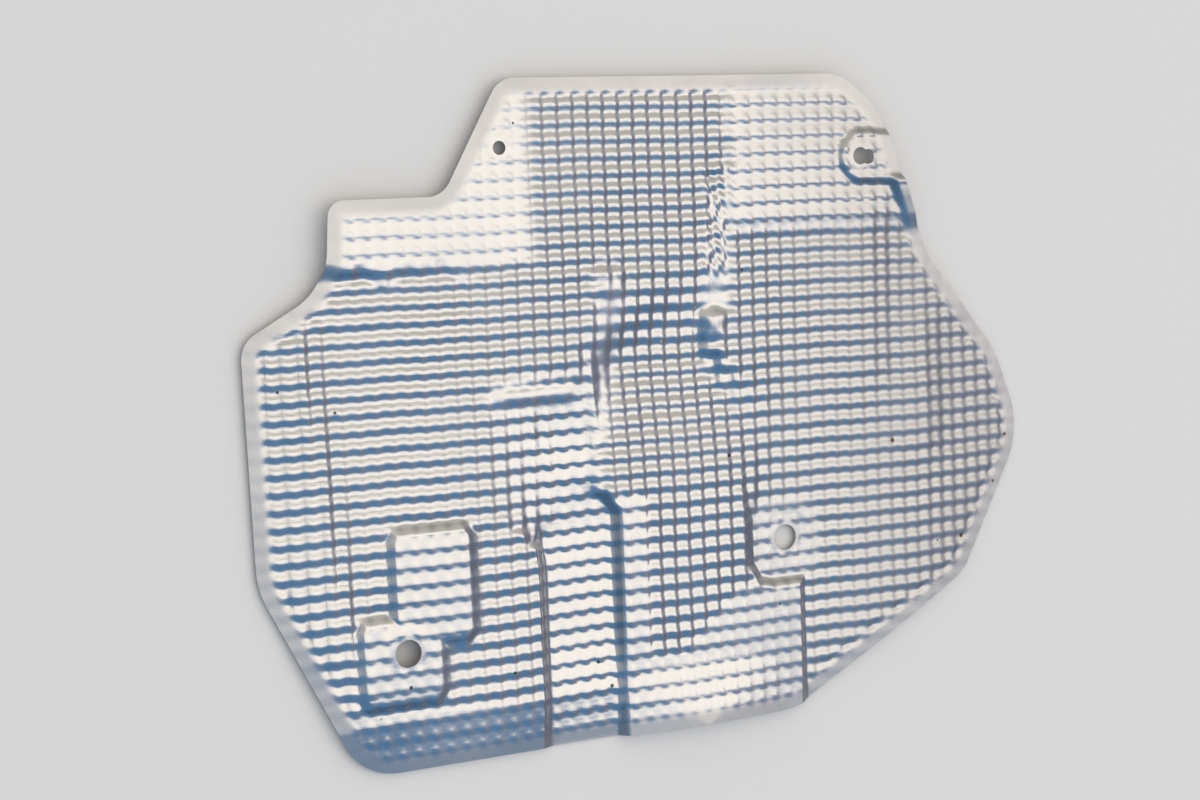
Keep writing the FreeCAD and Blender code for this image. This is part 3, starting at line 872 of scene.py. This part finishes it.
class SheetSettings(bpy.types.PropertyGroup):
    """Sizes of the pressed sheet."""

    thickness: length("Thickness", "Thickness of the sheet", 0.8)
    pitch: length("Embossing pitch", "Distance from bump to bump", 8.0)
    depth: length("Embossing depth", "Height from a dimple's bottom to a bump's tip", 1.6)
    channel: length("Channel depth", "Depth of the clearance channel", 5.0)
    left_pad: length("Left pad height", "Height of the raised pad round the left hole", 2.5)
    right_step: length("Right step", "Depth of the step round the right hole's pad", 3.0)
    boss: length("Boss height", "Height of the boss round the clip hole", 2.0)
    pleat: length("Pleat height", "Height of the pleat's top end", 4.0)
    front_samples: samples("Front samples", "Mesh points per embossing pitch on the front", 6)
    back_samples: samples("Back samples", "Mesh points per embossing pitch on the back", 4)


class FinishSettings(bpy.types.PropertyGroup):
    """Colours and roughness of the aluminium."""

    bright_colour: tint("Bright metal", "Clean rolled aluminium", (0.86, 0.85, 0.84))
    dull_colour: tint("Dulled metal", "Handled and weathered aluminium", (0.71, 0.69, 0.67))
    speck_colour: tint("Specks", "Small dark specks", (0.05, 0.045, 0.04))
    rust_colour: tint("Rust", "Small rust spots", (0.16, 0.07, 0.03))
    roughness: share("Roughness", "Middle roughness of the metal", 0.25)
    rim_roughness: share("Rim roughness", "Roughness of the worn rims", 0.38)


class StageSettings(bpy.types.PropertyGroup):
    """Floor, room, light and camera."""

    floor_colour: tint("Floor", "Colour of the floor", (0.82, 0.80, 0.77))
    room_colour: tint("Near wall", "Colour of the dim side of the room", (0.10, 0.225, 0.41))
    side_wall_colour: tint("Side wall", "Colour of the room's right side", (0.225, 0.26, 0.36))
    far_wall_colour: tint("Far wall", "Colour of the lighter side of the room", (0.56, 0.555, 0.55))
    ceiling_colour: tint("Ceiling", "Colour of the ceiling round the panel", (0.56, 0.54, 0.505))
    key_watts: bpy.props.FloatProperty(
        name="Key panel", description="Power of the wide panel overhead", default=18.5, unit="POWER", min=0)
    lens: bpy.props.FloatProperty(name="Lens", description="Focal length", default=66.0, unit="CAMERA", min=1)


class SHIELD_OT_sheet(bpy.types.Operator):
    """Build the pressed and embossed sheet with its outline, holes and finish"""

    bl_idname = "shield.sheet"
    bl_label = "Embossed sheet"

    def execute(self, context):
        settings = context.scene.shield_sheet
        names = ("pitch", "depth", "channel", "left_pad", "right_step", "boss", "pleat")
        sizes = {name: getattr(settings, name) / MM for name in names}
        thickness = settings.thickness / MM
        rings = [rounded_outline(OUTLINE_SPACING)]
        rings += [round_hole(hole, BOLT_HOLE_SPACING) for hole in (UPPER_HOLE, LEFT_HOLE, RIGHT_HOLE)]
        rings += [clip_hole(CLIP_HOLE_SPACING), round_hole(PIN_HOLE, PIN_HOLE_SPACING)]
        front, front_faces, edges = triangulated_plan(rings, sizes["pitch"] / settings.front_samples)
        back, back_faces, _ = triangulated_plan(rings, sizes["pitch"] / settings.back_samples)

        rim = RimMap(rings[0])
        low = float(SHEET_LOW.z) / MM
        lift = low + FIELD_HEIGHT
        verts = []
        normals = []
        for plan, drop, sign in ((front, 0.0, 1), (back, thickness, -1)):
            x, y = plan[:, 0], plan[:, 1]
            verts.append(np.stack([x, y, sheet_height(x, y, rim(x, y), sizes) + lift - drop], 1))
            normals.append(sign * sheet_normals(x, y, rim, sizes))
        offset = len(front)
        faces = [tuple(face) for face in front_faces.tolist()]
        faces += [tuple(offset + i for i in face[::-1]) for face in back_faces.tolist()]
        verts = np.concatenate(verts)
        verts[:, 2] = np.clip(verts[:, 2], low, float(SHEET_HIGH.z) / MM)
        smooth_count = len(faces)
        for a, b in edges:
            faces.append((b, a, offset + a, offset + b))

        mesh = bpy.data.meshes.new("embossed_sheet")
        mesh.from_pydata((verts * MM).tolist(), [], faces)
        if mesh.validate():
            raise RuntimeError("the sheet's mesh had faulty faces")
        smooth = np.zeros(len(mesh.polygons), bool)
        smooth[:smooth_count] = True
        mesh.polygons.foreach_set("use_smooth", smooth)
        normals = np.concatenate(normals)
        loop_vertex = np.zeros(len(mesh.loops), int)
        mesh.loops.foreach_get("vertex_index", loop_vertex)
        loop_normals = normals[loop_vertex]
        for polygon in mesh.polygons[smooth_count:]:
            loop_normals[list(polygon.loop_indices)] = polygon.normal
        mesh.normals_split_custom_set(loop_normals.tolist())
        worn = mesh.attributes.new("rim_wear", "FLOAT", "POINT")
        plan = np.concatenate([front, back])
        wear = 1 - ramp(rim(plan[:, 0], plan[:, 1]), *RIM_WEAR)
        worn.data.foreach_set("value", wear.astype(np.float32))
        sheet = bpy.data.objects.new("embossed_sheet", mesh)
        context.scene.collection.objects.link(sheet)
        mesh.materials.append(bright_aluminium(context.scene.shield_finish))
        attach(sheet, "root")
        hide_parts("heat_shield")
        return {"FINISHED"}


class SHIELD_OT_stage(bpy.types.Operator):
    """Lay the floor and place the light and the camera"""

    bl_idname = "shield.stage"
    bl_label = "Stage"

    def execute(self, context):
        scene = context.scene
        stage = scene.shield_stage
        scene.view_settings.view_transform = "Standard"

        corners = [(-1, -1), (1, -1), (1, 1), (-1, 1)]
        mesh = bpy.data.meshes.new("floor")
        mesh.from_pydata([(x * FLOOR_REACH, y * FLOOR_REACH, 0) for x, y in corners], [], [(0, 1, 2, 3)])
        mesh.materials.append(plain_paper(stage.floor_colour))
        floor = bpy.data.objects.new("floor", mesh)
        scene.collection.objects.link(floor)

        scene.world = plain_room(stage)
        scene.collection.objects.link(hung_panel(stage.key_watts))
        camera = aimed_camera(stage.lens)
        scene.collection.objects.link(camera)
        scene.camera = camera
        return {"FINISHED"}


class SHIELD_PT_panel(bpy.types.Panel):
    """Sizes, finish and stage of the heat shield"""

    bl_idname = "SHIELD_PT_panel"
    bl_label = "Heat shield"
    bl_space_type = "VIEW_3D"
    bl_region_type = "UI"
    bl_category = "Heat shield"

    def draw(self, context):
        layout = self.layout
        groups = (
            (SHIELD_OT_sheet, context.scene.shield_sheet),
            (None, context.scene.shield_finish),
            (SHIELD_OT_stage, context.scene.shield_stage),
        )
        for operator, group in groups:
            column = layout.box().column()
            for name in group.__annotations__:
                column.prop(group, name)
            if operator:
                column.operator(operator.bl_idname)


CLASSES = (SheetSettings, FinishSettings, StageSettings, SHIELD_OT_sheet, SHIELD_OT_stage, SHIELD_PT_panel)


def register():
    for each in CLASSES:
        bpy.utils.register_class(each)
    bpy.types.Scene.shield_sheet = bpy.props.PointerProperty(type=SheetSettings)
    bpy.types.Scene.shield_finish = bpy.props.PointerProperty(type=FinishSettings)
    bpy.types.Scene.shield_stage = bpy.props.PointerProperty(type=StageSettings)


def unregister():
    del bpy.types.Scene.shield_stage
    del bpy.types.Scene.shield_finish
    del bpy.types.Scene.shield_sheet
    for each in reversed(CLASSES):
        bpy.utils.unregister_class(each)


def main():
    register()
    bpy.ops.shield.sheet()
    bpy.ops.shield.stage()


if __name__ == "__main__":
    main()
